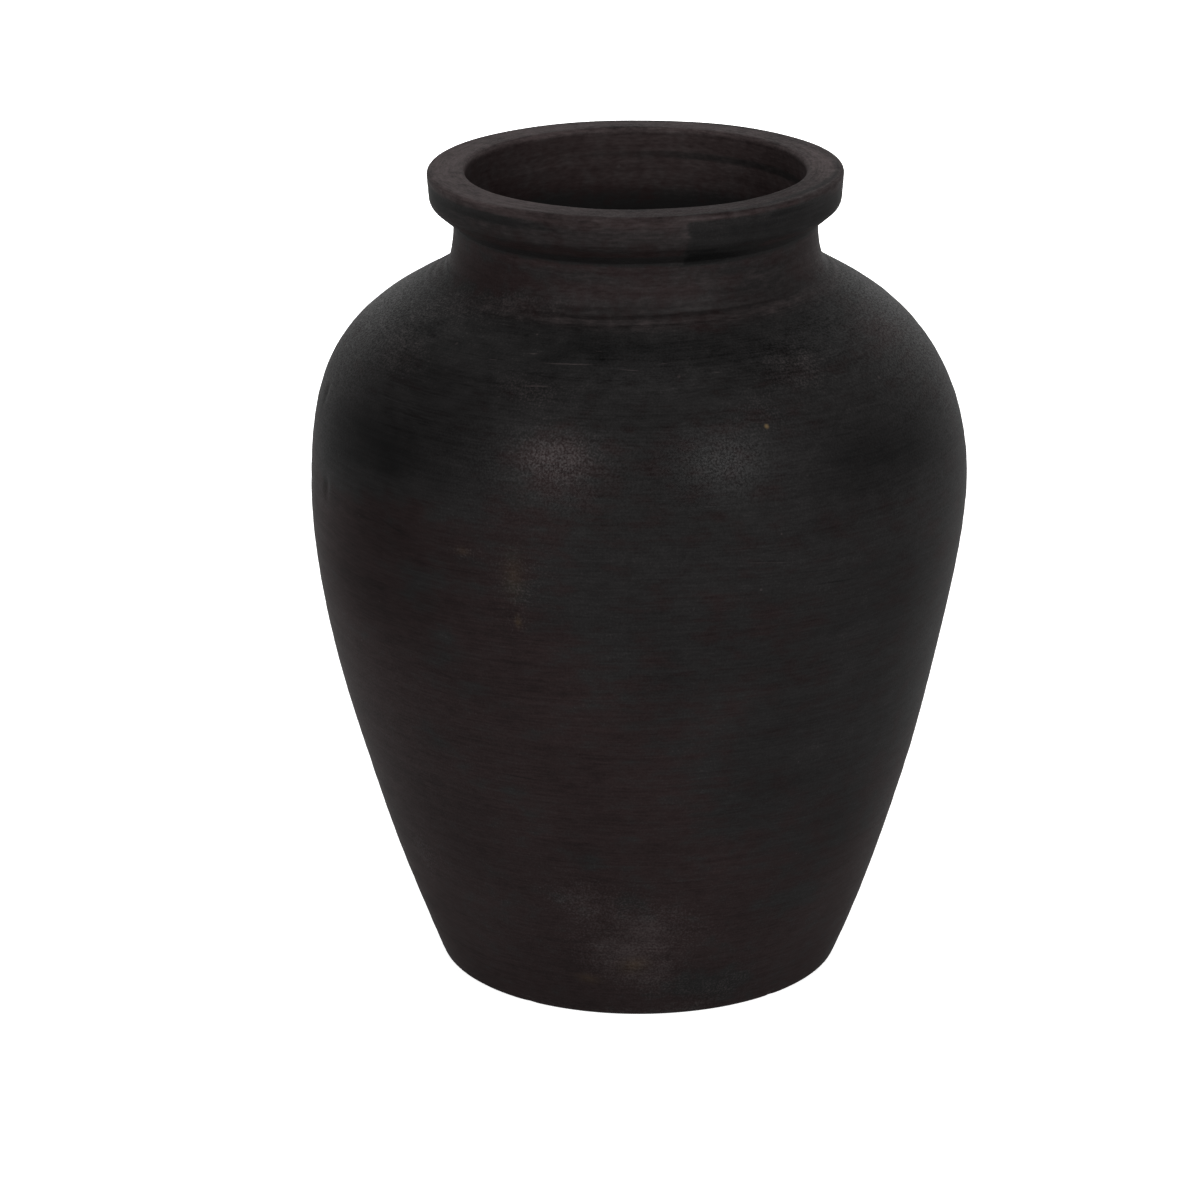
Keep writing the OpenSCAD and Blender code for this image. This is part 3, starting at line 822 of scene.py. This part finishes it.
def make_section(context, node, parts, material, closed=True):
    """One closed turned mesh, from stretches of the skin and the joint faces between them.

    It stands for a solid. parts names the stretches in order around the section. A section that isn't
    closed starts and ends on the axis.
    """
    skin = vase_skin(context.scene)
    rings, normals, paint, along, is_skin = [], [], [], [], []
    for part in parts:
        if part in skin["spans"]:
            span = slice(*skin["spans"][part])
            if is_skin and is_skin[-1] and np.allclose(rings[-1], skin["rings"][span][0]):
                for kept in (rings, normals, paint, along, is_skin):
                    kept.pop()
            rings.extend(skin["rings"][span])
            normals.extend(skin["normals"][span])
            paint.extend(skin["paint"][span])
            along.extend(skin["along"][span])
            is_skin.extend([True] * (span.stop - span.start - 1) + [False])
        else:
            for ring in skin["hidden"][part]:
                rings.append(ring)
                normals.append(np.zeros_like(ring))
                paint.append(np.broadcast_to(JOINT_PAINT, (AROUND, len(JOINT_PAINT))))
                along.append(along[-1] if along else 0.0)
                is_skin.append(False)
    rings, normals, paint = np.array(rings), np.array(normals), np.array(paint)
    count = len(rings)
    number = np.arange(count * AROUND).reshape(count, AROUND)
    below = np.arange(count if closed else count - 1)
    above = (below + 1) % count
    nxt = (np.arange(AROUND) + 1) % AROUND
    corners = np.stack(
        [number[below], number[below][:, nxt], number[above][:, nxt], number[above]], axis=-1
    )

    # The bake's layout unrolls the section: its turn across, and its outline upwards
    outline = walked(rings[:, 0])
    closing = np.linalg.norm(rings[0, 0] - rings[-1, 0]) if closed else 0.0
    fraction = np.r_[outline, outline[-1] + closing] / (outline[-1] + closing)
    u0 = np.arange(AROUND) / AROUND
    u1 = u0 + 1 / AROUND
    flat = np.stack([
        np.stack(np.broadcast_arrays(u, fraction[k][:, None]), axis=-1)
        for u, k in ((u0, below), (u1, below), (u1, below + 1), (u0, below + 1))
    ], axis=2)
    skinned = np.array(is_skin)[below][:, None, None] & np.ones(corners.shape, bool)
    corner_normals = np.where(skinned[..., None], normals.reshape(-1, 3)[corners], 0.0)

    faces = corners.reshape(-1, 4).tolist()
    keep = np.ones(corners.shape, bool)
    points = rings.reshape(-1, 3)
    if not closed:
        # Both ends close on the axis in a fan of triangles around one point
        first, last = number[0, 0], number[-1, 0]
        points[number[0]], points[number[-1]] = rings[0].mean(axis=0), rings[-1].mean(axis=0)
        corners[0, :, 0], corners[-1, :, 3] = first, last
        keep[0, :, 1] = keep[-1, :, 2] = False
        faces = [
            [int(c) for c, k in zip(quad, kept) if k]
            for quad, kept in zip(corners.reshape(-1, 4), keep.reshape(-1, 4))
        ]
    used = np.unique(corners[keep])
    renumber = np.zeros(count * AROUND, int)
    renumber[used] = np.arange(len(used))
    mesh = bpy.data.meshes.new(node + PIECE_SUFFIX)
    mesh.from_pydata(points[used].tolist(), [], [[int(renumber[c]) for c in face] for face in faces])
    mesh.polygons.foreach_set("use_smooth", np.ones(len(mesh.polygons), bool))
    radius = context.scene.vase_sizes.belly_width / 2
    lathe = (radius * np.cos(TURNS), radius * np.sin(TURNS), np.array(along)[:, None])
    lathe = np.stack(np.broadcast_arrays(*lathe), axis=-1)
    for name, kind, field, values in (
        ("lathe", "FLOAT_VECTOR", "vector", lathe),
        ("paint", "FLOAT_COLOR", "color", paint[..., :4]),
        ("brushed", "FLOAT", "value", paint[..., 4]),
    ):
        layer = mesh.attributes.new(name, kind, "POINT")
        layer.data.foreach_set(field, values.reshape(count * AROUND, -1)[used].astype(np.float32).ravel())
    layout = mesh.uv_layers.new(name="OFBake")
    layout.uv.foreach_set("vector", flat[keep].astype(np.float32).ravel())
    mesh.materials.append(material)
    mesh.validate()
    mesh.normals_split_custom_set(corner_normals[keep].tolist())
    piece = bpy.data.objects.new(node + PIECE_SUFFIX, mesh)
    context.scene.collection.objects.link(piece)
    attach(piece, "root")
    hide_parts(node)


def add(tree, kind, inputs=None, **settings):
    """Adds a node with its settings, and each input's value or the node or socket that is linked to it."""
    made = tree.nodes.new(kind)
    for name, value in settings.items():
        setattr(made, name, value)
    for name, value in (inputs or {}).items():
        if isinstance(value, bpy.types.Node):
            value = next(socket for socket in value.outputs if socket.enabled)
        if isinstance(value, bpy.types.NodeSocket):
            tree.links.new(value, made.inputs[name])
        else:
            made.inputs[name].default_value = value
    return made


def fresh_material(name):
    material = bpy.data.materials.new(name)
    material.use_nodes = True
    material.node_tree.nodes.clear()
    return material


def brushwork(tree, finish):
    """Patterns, about 0.3 to 0.7 each, left by brush, sand and rubbing: lines around, clouds and grains."""
    place = add(tree, "ShaderNodeTexCoord").outputs["Object"]
    lathe = add(tree, "ShaderNodeAttribute", attribute_name="lathe").outputs["Vector"]
    sway = add(
        tree, "ShaderNodeTexNoise", {"Vector": lathe, "Scale": 1 / finish.sway_length, "Detail": 1.0}
    )
    strayed = add(
        tree,
        "ShaderNodeVectorMath",
        {0: sway.outputs["Color"], 1: (0.0, 0.0, finish.sway), 2: lathe},
        operation="MULTIPLY_ADD",
    )
    patterns = {}
    for name, spot, wide, tall, detail in (
        ("bristles", strayed, finish.bristle_length, finish.bristle_width, 2.0),
        ("flecks", strayed, finish.fleck_length, finish.fleck_width, 2.0),
        ("strokes", strayed, finish.stroke_length, finish.stroke_width, 3.0),
        ("bands", strayed, finish.band_length, finish.band_width, 3.0),
        ("clouds", place, finish.cloud, finish.cloud, 5.0),
        ("blots", strayed, finish.blot * 2, finish.blot, 4.0),
        ("grit", place, finish.grit, finish.grit, 1.0),
    ):
        sized = add(
            tree, "ShaderNodeVectorMath", {0: spot, 1: (1 / wide, 1 / wide, 1 / tall)}, operation="MULTIPLY"
        )
        patterns[name] = add(tree, "ShaderNodeTexNoise", {"Vector": sized, "Scale": 1.0, "Detail": detail})
    return patterns


def scratches(tree):
    """Pale, dark and ochre marks drawn across the outside, on the surface unrolled to about true size."""
    unrolled_radius = 0.1
    place = add(tree, "ShaderNodeTexCoord").outputs["Object"]
    place = add(tree, "ShaderNodeSeparateXYZ", {0: place}).outputs
    front = add(tree, "ShaderNodeMath", {0: place["Y"], 1: -1.0}, operation="MULTIPLY")
    turn = add(tree, "ShaderNodeMath", {0: place["X"], 1: front}, operation="ARCTAN2")
    around = add(tree, "ShaderNodeMath", {0: turn, 1: unrolled_radius}, operation="MULTIPLY")
    unrolled = add(tree, "ShaderNodeCombineXYZ", {"X": around, "Y": place["Z"]})
    marks = {}
    for tone, degrees, level, long, wide, tilt, amount in STROKES:
        mark = add(
            tree,
            "ShaderNodeMapping",
            {
                "Vector": unrolled,
                "Location": (math.radians(degrees) * unrolled_radius, level * MM, 0.0),
                "Rotation": (0.0, 0.0, math.radians(tilt)),
                "Scale": (long / 2 * MM, wide / 2 * MM, 1.0),
            },
            vector_type="TEXTURE",
        )
        mark = add(tree, "ShaderNodeTexGradient", {"Vector": mark}, gradient_type="SPHERICAL")
        marks[tone] = add(
            tree, "ShaderNodeMath", {0: mark, 1: amount, 2: marks.get(tone, 0.0)}, operation="MULTIPLY_ADD"
        )
    return marks


def brushed_slip(finish):
    """Terracotta with a matt iron-black slip, brushed on in rings on the wheel and rubbed once dry.

    It gives the eye a dull black that turns brown where the slip is thin, fine level bristle lines, sand
    grains that break the soft highlights into specks, and a faint sheen at the edges of the shape.
    """
    material = fresh_material("terracotta_brushed_matt_slip")
    tree = material.node_tree
    brush = brushwork(tree, finish)
    marks = scratches(tree)
    paint = add(tree, "ShaderNodeAttribute", attribute_name="paint").outputs
    black, rubbed, thin = add(tree, "ShaderNodeSeparateXYZ", {"Vector": paint["Vector"]}).outputs

    # A pale grain shows here and there
    place = add(tree, "ShaderNodeTexCoord").outputs["Object"]
    cells = add(tree, "ShaderNodeTexVoronoi", {"Vector": place, "Scale": 1 / finish.speck_spacing}).outputs
    cell = add(tree, "ShaderNodeSeparateXYZ", {"Vector": cells["Color"]}).outputs["X"]
    speck = add(tree, "ShaderNodeMath", {0: cells["Distance"], 1: cell}, operation="ADD")

    # A layer covers those before it as its amount, with shares of the brushwork, goes from start to end
    tint = (*finish.brown, 1.0)
    blackened = {"clouds": 0.5, "blots": 1.5, "bands": 0.5, "strokes": 0.4, "flecks": 0.5}
    thinned = {"bands": 0.08, "strokes": 0.09, "flecks": 0.14, "blots": 0.12}
    for layer, amount, shares, start, end, cover in (
        (finish.black, black, blackened, 0.2, 0.8, 1.0),
        (finish.dense, black, {"bands": 0.6, "strokes": 0.7, "flecks": 0.7}, 0.95, 1.6, 1.0),
        (finish.rubbed, rubbed, {"grit": 1.1, "blots": 0.3, "clouds": 0.3}, 0.15, 0.8, 0.65),
        (finish.bare, thin, thinned, 0.3, 0.7, 1.0),
        (finish.rubbed, speck, {}, 0.13, 0.08, 0.5),
        (finish.rubbed, marks["pale"], {"bristles": 0.4}, 0.1, 0.7, 0.8),
        (finish.ochre, marks["ochre"], {}, 0.05, 0.9, 0.8),
        (finish.dense, marks["dark"], {"bristles": 0.4}, 0.1, 0.7, 0.8),
    ):
        middle = sum(shares.values()) / 2
        for name, weight in shares.items():
            inputs = {0: brush[name], 1: weight, 2: amount}
            amount = add(tree, "ShaderNodeMath", inputs, operation="MULTIPLY_ADD")
        amount = add(
            tree,
            "ShaderNodeMapRange",
            {"Value": amount, "From Min": start + middle, "From Max": end + middle, "To Max": cover},
            interpolation_type="SMOOTHSTEP",
        )
        tint = add(tree, "ShaderNodeMix", {0: amount, 6: tint, 7: (*layer, 1.0)}, data_type="RGBA")

    # Bristle lines, streaks, blots and grains are lighter and darker by turns
    contrast = {"bristles": 0.45, "flecks": 0.6, "strokes": 0.35, "bands": 0.4, "blots": 0.6}
    contrast |= {"clouds": 0.7, "grit": 0.06}
    shade = -sum(contrast.values()) / 2
    for name, weight in contrast.items():
        shade = add(tree, "ShaderNodeMath", {0: brush[name], 1: weight, 2: shade}, operation="MULTIPLY_ADD")
    brushed = add(tree, "ShaderNodeAttribute", attribute_name="brushed").outputs["Fac"]
    shade = add(tree, "ShaderNodeMath", {0: shade, 1: brushed, 2: 1.0}, operation="MULTIPLY_ADD")

    # Thick slip is darker, and so is the painted shade carried with it
    depth = add(
        tree,
        "ShaderNodeMapRange",
        {"Value": thin, "From Min": -1.0, "From Max": 0.0, "To Min": THICK_SHADE},
    )
    shade = add(tree, "ShaderNodeMath", {0: shade, 1: depth}, operation="MULTIPLY")
    tint = add(tree, "ShaderNodeHueSaturation", {"Color": tint, "Value": shade})

    height = 0.0
    for source, metres in (
        (brush["grit"], finish.grit_height),
        (brush["bristles"], finish.bristle_height),
        (brush["strokes"], finish.bristle_height * 2),
        (marks["pale"], -finish.scratch_depth),
    ):
        height = add(tree, "ShaderNodeMath", {0: source, 1: metres, 2: height}, operation="MULTIPLY_ADD")
    bump = add(tree, "ShaderNodeBump", {"Strength": 1.0, "Distance": 1.0, "Height": height})

    # Sand grains break the burnish into specks
    grains = add(
        tree,
        "ShaderNodeMapRange",
        {
            "Value": brush["grit"],
            "From Min": GRAIN_LOW,
            "From Max": GRAIN_HIGH,
            "To Min": -GRAIN_BREAK,
            "To Max": GRAIN_BREAK,
        },
    )
    sparkle = add(tree, "ShaderNodeMath", {0: paint["Alpha"], 1: GRAIN_LIMIT}, operation="MINIMUM")
    polish = add(tree, "ShaderNodeMath", {0: grains, 1: sparkle, 2: 1.0}, operation="MULTIPLY_ADD")
    polish = add(tree, "ShaderNodeMath", {0: polish, 1: paint["Alpha"]}, operation="MULTIPLY")
    polish = add(tree, "ShaderNodeMath", {0: polish, 1: finish.burnish}, operation="MULTIPLY")
    shader = add(
        tree,
        "ShaderNodeBsdfPrincipled",
        {
            "Base Color": tint,
            "Roughness": finish.roughness,
            "Specular IOR Level": finish.gloss,
            "Coat Weight": polish,
            "Coat Roughness": finish.burnish_roughness,
            "Normal": bump,
            "Coat Normal": bump,
        },
    )
    add(tree, "ShaderNodeOutputMaterial", {"Surface": shader})
    return material


def wiped_clay(finish):
    """Smoke-darkened terracotta, wiped smooth with a wet finger and left unslipped.

    It gives the eye a dull earth brown with sand grains and faint finger streaks.
    """
    material = fresh_material("terracotta_wiped_bare")
    tree = material.node_tree
    brush = brushwork(tree, finish)
    tint = add(
        tree,
        "ShaderNodeMix",
        {0: brush["strokes"], 6: (*finish.brown, 1.0), 7: (*finish.bare, 1.0)},
        data_type="RGBA",
    )
    grains = finish.grit_height * CLAY_GRIT
    height = add(tree, "ShaderNodeMath", {0: brush["grit"], 1: grains}, operation="MULTIPLY")
    bump = add(tree, "ShaderNodeBump", {"Strength": 1.0, "Distance": 1.0, "Height": height})
    shader = add(
        tree,
        "ShaderNodeBsdfPrincipled",
        {
            "Base Color": tint,
            "Roughness": CLAY_ROUGHNESS,
            "Specular IOR Level": finish.gloss,
            "Normal": bump,
        },
    )
    add(tree, "ShaderNodeOutputMaterial", {"Surface": shader})
    return material


def slip_material(context):
    """The one slip that all slipped sections share."""
    made = bpy.data.materials.get("terracotta_brushed_matt_slip")
    return made or brushed_slip(context.scene.vase_finish)


def shown_white(tree, seen, mirrored):
    """How white the background shows: where it is seen, directly or through glass, or mirrored in gloss."""
    rays = add(tree, "ShaderNodeLightPath").outputs
    inputs = {0: rays["Is Camera Ray"], 1: rays["Is Transmission Ray"]}
    direct = add(tree, "ShaderNodeMath", inputs, operation="MAXIMUM")
    direct = add(tree, "ShaderNodeMath", {0: direct, 1: seen}, operation="MULTIPLY")
    glossy = add(tree, "ShaderNodeMath", {0: rays["Is Glossy Ray"], 1: mirrored}, operation="MULTIPLY")
    return add(tree, "ShaderNodeMath", {0: direct, 1: glossy}, operation="MAXIMUM")


class VASE_OT_floor_slab(bpy.types.Operator):
    """Make the clay disc that closes the foot, with its wire-cut underside"""

    bl_idname = "vase.floor_slab"
    bl_label = "Floor slab"

    def execute(self, context):
        parts = ("underside", "foot", "slab_step", "floor_in")
        make_section(context, "floor_slab", parts, slip_material(context), closed=False)
        return {"FINISHED"}


class VASE_OT_corner_coil(bpy.types.Operator):
    """Make the coil pressed into the inside corner of floor and wall"""

    bl_idname = "vase.corner_coil"
    bl_label = "Corner coil"

    def execute(self, context):
        clay = wiped_clay(context.scene.vase_finish)
        make_section(context, "corner_coil", ("coil", "under_coil"), clay)
        return {"FINISHED"}


class VASE_OT_lower_body(bpy.types.Operator):
    """Make the tapered wall from the foot to the belly"""

    bl_idname = "vase.lower_body"
    bl_label = "Lower body"

    def execute(self, context):
        parts = ("lower_out", "lower_in", "behind_coil", "wall_foot")
        make_section(context, "lower_body", parts, slip_material(context))
        return {"FINISHED"}


class VASE_OT_shoulder(bpy.types.Operator):
    """Make the bowl from the belly in to the foot of the neck"""

    bl_idname = "vase.shoulder"
    bl_label = "Shoulder"

    def execute(self, context):
        parts = ("shoulder_out", "shoulder_top", "shoulder_in")
        make_section(context, "shoulder", parts, slip_material(context))
        return {"FINISHED"}


class VASE_OT_neck_collar(bpy.types.Operator):
    """Make the short hollowed neck"""

    bl_idname = "vase.neck_collar"
    bl_label = "Neck collar"

    def execute(self, context):
        parts = ("neck_out", "tongue", "neck_in")
        make_section(context, "neck_collar", parts, slip_material(context))
        return {"FINISHED"}


class VASE_OT_rim_ring(bpy.types.Operator):
    """Make the thick rolled rim"""

    bl_idname = "vase.rim_ring"
    bl_label = "Rim ring"

    def execute(self, context):
        make_section(context, "rim_ring", ("rim", "groove"), slip_material(context))
        return {"FINISHED"}


class VASE_OT_stage(bpy.types.Operator):
    """Set up the paper floor, the white surroundings, the soft lights and the camera"""

    bl_idname = "vase.stage"
    bl_label = "Studio"

    def execute(self, context):
        scene, studio = context.scene, context.scene.vase_studio
        scene.view_settings.view_transform = "Standard"

        turns = np.linspace(0, 2 * math.pi, FLOOR_CORNERS, endpoint=False)
        radius = studio.floor_radius
        edge = [(radius * math.cos(t), radius * math.sin(t), 0.0) for t in turns]
        mesh = bpy.data.meshes.new("paper_floor")
        mesh.from_pydata(edge, [], [list(range(len(edge)))])
        floor = bpy.data.objects.new("paper_floor", mesh)
        scene.collection.objects.link(floor)

        # Matt white paper, lit so that it shows white with the vase's soft shadow on it
        paper = fresh_material("matt_white_paper")
        tree = paper.node_tree
        place = add(tree, "ShaderNodeTexCoord").outputs["Object"]
        away = add(tree, "ShaderNodeVectorMath", {0: place}, operation="LENGTH").outputs["Value"]
        behind = add(tree, "ShaderNodeSeparateXYZ", {"Vector": place}).outputs["Y"]
        seen = add(
            tree,
            "ShaderNodeMapRange",
            {
                "Value": away,
                "From Min": FLOOR_WHITE_FROM,
                "From Max": FLOOR_WHITE_TO,
                "To Min": studio.floor_glow,
                "To Max": 1.0,
            },
        )
        mirrored = add(
            tree,
            "ShaderNodeMapRange",
            {
                "Value": behind,
                "From Min": 0.0,
                "From Max": FLOOR_BEHIND,
                "To Min": studio.floor_mirrored,
                "To Max": 1.0,
            },
        )
        glow = shown_white(tree, seen, mirrored)
        shader = add(
            tree,
            "ShaderNodeBsdfPrincipled",
            {
                "Base Color": (*studio.floor_colour, 1.0),
                "Roughness": PAPER_ROUGHNESS,
                "Specular IOR Level": 0.0,
                "Emission Color": (1.0, 1.0, 1.0, 1.0),
                "Emission Strength": glow,
            },
        )
        add(tree, "ShaderNodeOutputMaterial", {"Surface": shader})
        mesh.materials.append(paper)

        world = bpy.data.worlds.new("white_surroundings")
        scene.world = world
        world.use_nodes = True
        tree = world.node_tree
        tree.nodes.clear()
        direction = add(tree, "ShaderNodeTexCoord").outputs["Generated"]
        behind = add(tree, "ShaderNodeSeparateXYZ", {"Vector": direction}).outputs["Y"]
        mirrored = add(
            tree,
            "ShaderNodeMapRange",
            {
                "Value": behind,
                "From Min": SWEEP_SHOWS_FROM,
                "From Max": SWEEP_SHOWS_TO,
                "To Min": studio.front_mirrored,
                "To Max": 1.0,
            },
        )
        lighting = add(
            tree,
            "ShaderNodeMapRange",
            {
                "Value": behind,
                "From Min": SWEEP_LIGHTS_FROM,
                "From Max": SWEEP_LIGHTS_TO,
                "To Min": studio.daylight,
                "To Max": 1.0,
            },
        )
        strength = add(
            tree, "ShaderNodeMath", {0: shown_white(tree, 1.0, mirrored), 1: lighting}, operation="MAXIMUM"
        )
        sky = add(tree, "ShaderNodeBackground", {"Color": (1.0, 1.0, 1.0, 1.0), "Strength": strength})
        add(tree, "ShaderNodeOutputWorld", {"Surface": sky})

        for name, power, turn, rise in (
            ("left_softbox", studio.left_power, studio.left_turn, studio.left_rise),
            ("right_softbox", studio.right_power, studio.right_turn, studio.right_rise),
            ("top_softbox", studio.top_power, 0.0, math.pi / 2),
            ("fill_light", studio.fill_power, math.pi, studio.fill_rise),
        ):
            lamp = bpy.data.lights.new(name, "AREA")
            lamp.shape = "SQUARE"
            lamp.size = studio.softbox
            lamp.energy = power
            light = bpy.data.objects.new(name, lamp)
            across = studio.softbox_distance * math.cos(rise)
            light.location = (
                across * math.sin(turn),
                -across * math.cos(turn) - scene.vase_sizes.belly_width / 2,
                studio.softbox_distance * math.sin(rise) + scene.vase_sizes.belly_height,
            )
            light.rotation_euler = (math.pi / 2 - rise, 0.0, turn)
            light.visible_glossy = name != "fill_light"
            scene.collection.objects.link(light)

        eye = bpy.data.cameras.new("eye")
        eye.lens = studio.lens
        eye.shift_x = studio.eye_shift
        camera = bpy.data.objects.new("eye", eye)
        camera.location = (0.0, -studio.eye_distance, studio.eye_height)
        camera.rotation_euler = (math.pi / 2 - studio.eye_tilt, 0.0, 0.0)
        scene.collection.objects.link(camera)
        scene.camera = camera
        return {"FINISHED"}


class VASE_PT_sidebar(bpy.types.Panel):
    """Lists the vase's sizes, its finish and its steps"""

    bl_idname = "VASE_PT_sidebar"
    bl_label = "Jug vase"
    bl_space_type = "VIEW_3D"
    bl_region_type = "UI"
    bl_category = "Vase"

    def draw(self, context):
        for step in STEPS:
            self.layout.operator(step.bl_idname)
        for name, group in GROUPS.items():
            box = self.layout.box()
            for field in group.__annotations__:
                box.prop(getattr(context.scene, name), field)


STEPS = (
    VASE_OT_floor_slab,
    VASE_OT_corner_coil,
    VASE_OT_lower_body,
    VASE_OT_shoulder,
    VASE_OT_neck_collar,
    VASE_OT_rim_ring,
    VASE_OT_stage,
)
GROUPS = {
    "vase_sizes": VaseSizes,
    "vase_hand": VaseHand,
    "vase_finish": VaseFinish,
    "vase_studio": VaseStudio,
}


def register():
    for cls in (*GROUPS.values(), *STEPS, VASE_PT_sidebar):
        bpy.utils.register_class(cls)
    for name, group in GROUPS.items():
        setattr(bpy.types.Scene, name, PointerProperty(type=group))


def unregister():
    for name in GROUPS:
        delattr(bpy.types.Scene, name)
    for cls in (VASE_PT_sidebar, *reversed(STEPS), *reversed(GROUPS.values())):
        bpy.utils.unregister_class(cls)


def main():
    register()
    bpy.ops.vase.floor_slab()
    bpy.ops.vase.corner_coil()
    bpy.ops.vase.lower_body()
    bpy.ops.vase.shoulder()
    bpy.ops.vase.neck_collar()
    bpy.ops.vase.rim_ring()
    bpy.ops.vase.stage()


if __name__ == "__main__":
    main()
